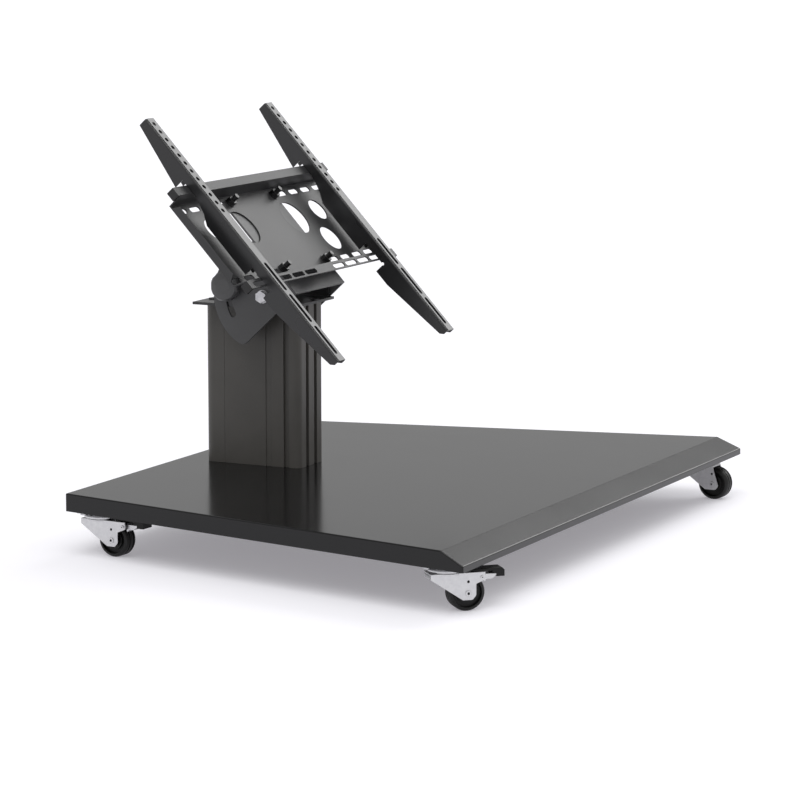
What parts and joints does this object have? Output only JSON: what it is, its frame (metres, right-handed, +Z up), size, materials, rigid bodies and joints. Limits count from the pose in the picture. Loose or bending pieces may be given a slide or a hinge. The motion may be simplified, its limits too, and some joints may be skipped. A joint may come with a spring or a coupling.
{
  "type": "mobile monitor stand",
  "caption": "Low wheeled stand: flat tapered steel tray on casters, short column, and a tilting head with sliding monitor rails.",
  "frame": {"origin": "on the floor, at the centre of the footprint", "axes": "+Z up, the monitor faces -Y, +X along the tray's width"},
  "size_m": [1.0304, 0.7149, 0.6158],
  "materials": {
    "gloss_black_coat": "gloss powder coat",
    "dark_grey_coat": "fine-textured satin powder coat",
    "column_coat": "satin powder coat",
    "zinc_plate": "bright zinc plating",
    "dark_steel": "black oxide",
    "black_plastic": "moulded",
    "knob_plastic": "moulded, satin",
    "tyre_rubber": "solid rubber"
  },
  "bodies": {
    "base": {"base_tray": "gloss_black_coat", "front_rib": "gloss_black_coat", "rear_rib": "gloss_black_coat", "column_backing_plate": "gloss_black_coat", "column": "column_coat", "foot_screws": "zinc_plate", "head_screws": "dark_steel", "top_bracket": "dark_grey_coat", "pivot_bolts": "zinc_plate", "pivot_washers": "zinc_plate", "pivot_nuts": "zinc_plate", "lock_bolts": "dark_steel", "lock_washers": "dark_steel", "caster_screws": "zinc_plate", "caster_nuts": "zinc_plate", "caster_plate_front_left": "zinc_plate", "caster_plate_front_right": "zinc_plate", "caster_plate_rear_left": "zinc_plate", "caster_plate_rear_right": "zinc_plate"},
    "head": {"tilt_bracket": "dark_grey_coat", "wall_plate": "dark_grey_coat", "bar_end_caps": "black_plastic", "plate_bolts": "dark_steel", "plate_washers": "dark_steel", "plate_nuts": "dark_steel"},
    "left_rail": {"rail_left": "dark_grey_coat"},
    "right_rail": {"rail_right": "dark_grey_coat"},
    "left_knob": {"knob_left": "knob_plastic"},
    "right_knob": {"knob_right": "knob_plastic"},
    "swivel_front_left": {"fork_front_left": "zinc_plate", "race_front_left": "zinc_plate", "pins_front_left": "zinc_plate"},
    "wheel_front_left": {"wheel_core_front_left": "black_plastic", "tyre_front_left": "tyre_rubber"},
    "brake_front_left": {"brake_lever_front_left": "zinc_plate", "lever_cap_front_left": "black_plastic"},
    "swivel_front_right": {"fork_front_right": "zinc_plate", "race_front_right": "zinc_plate", "pins_front_right": "zinc_plate"},
    "wheel_front_right": {"wheel_core_front_right": "black_plastic", "tyre_front_right": "tyre_rubber"},
    "swivel_rear_left": {"fork_rear_left": "zinc_plate", "race_rear_left": "zinc_plate", "pins_rear_left": "zinc_plate"},
    "wheel_rear_left": {"wheel_core_rear_left": "black_plastic", "tyre_rear_left": "tyre_rubber"},
    "brake_rear_left": {"brake_lever_rear_left": "zinc_plate", "lever_cap_rear_left": "black_plastic"},
    "swivel_rear_right": {"fork_rear_right": "zinc_plate", "race_rear_right": "zinc_plate", "pins_rear_right": "zinc_plate"},
    "wheel_rear_right": {"wheel_core_rear_right": "black_plastic", "tyre_rear_right": "tyre_rubber"}
  },
  "joints": [
    {"name": "head_tilt", "type": "hinge", "parent": "base", "child": "head", "pos_m": [0, 0.1894, 0.3506], "axis": [-1, 0, 0], "range_deg": [-43, 2]},
    {"name": "left_rail_slide", "type": "slide", "parent": "head", "child": "left_rail", "axis": [1, 0, 0], "range_m": [-0.018, 0.082]},
    {"name": "right_rail_slide", "type": "slide", "parent": "head", "child": "right_rail", "axis": [-1, 0, 0], "range_m": [-0.018, 0.082]},
    {"name": "left_knob_turn", "type": "hinge", "parent": "base", "child": "left_knob", "pos_m": [-0.09, 0.2458, 0.36414], "axis": [-1, 0, 0], "range_deg": [0, 360]},
    {"name": "right_knob_turn", "type": "hinge", "parent": "base", "child": "right_knob", "pos_m": [0.09, 0.2458, 0.36414], "axis": [1, 0, 0], "range_deg": [0, 360]},
    {"name": "swivel_turn_front_left", "type": "hinge", "parent": "base", "child": "swivel_front_left", "pos_m": [-0.46501, -0.2926, 0.055], "axis": [0, 0, 1], "continuous": true},
    {"name": "wheel_spin_front_left", "type": "hinge", "parent": "swivel_front_left", "child": "wheel_front_left", "pos_m": [-0.44741, -0.31174, 0.025], "axis": [0.7361, 0.6769, 0], "continuous": true},
    {"name": "brake_press_front_left", "type": "hinge", "parent": "swivel_front_left", "child": "brake_front_left", "pos_m": [-0.43421, -0.32609, 0.046], "axis": [0.7361, 0.6769, 0], "range_deg": [0, 13]},
    {"name": "swivel_turn_front_right", "type": "hinge", "parent": "base", "child": "swivel_front_right", "pos_m": [0.46501, -0.2926, 0.055], "axis": [0, 0, 1], "continuous": true},
    {"name": "wheel_spin_front_right", "type": "hinge", "parent": "swivel_front_right", "child": "wheel_front_right", "pos_m": [0.4641, -0.31858, 0.025], "axis": [0.9994, -0.0349, 0], "continuous": true},
    {"name": "swivel_turn_rear_left", "type": "hinge", "parent": "base", "child": "swivel_rear_left", "pos_m": [-0.33602, 0.3144, 0.055], "axis": [0, 0, 1], "continuous": true},
    {"name": "wheel_spin_rear_left", "type": "hinge", "parent": "swivel_rear_left", "child": "wheel_rear_left", "pos_m": [-0.33784, 0.28846, 0.025], "axis": [0.9976, -0.0698, 0], "continuous": true},
    {"name": "brake_press_rear_left", "type": "hinge", "parent": "swivel_rear_left", "child": "brake_rear_left", "pos_m": [-0.3392, 0.26901, 0.046], "axis": [0.9976, -0.0698, 0], "range_deg": [0, 13]},
    {"name": "swivel_turn_rear_right", "type": "hinge", "parent": "base", "child": "swivel_rear_right", "pos_m": [0.33602, 0.3144, 0.055], "axis": [0, 0, 1], "continuous": true},
    {"name": "wheel_spin_rear_right", "type": "hinge", "parent": "swivel_rear_right", "child": "wheel_rear_right", "pos_m": [0.33017, 0.28907, 0.025], "axis": [0.9744, -0.225, 0], "continuous": true}
  ]
}
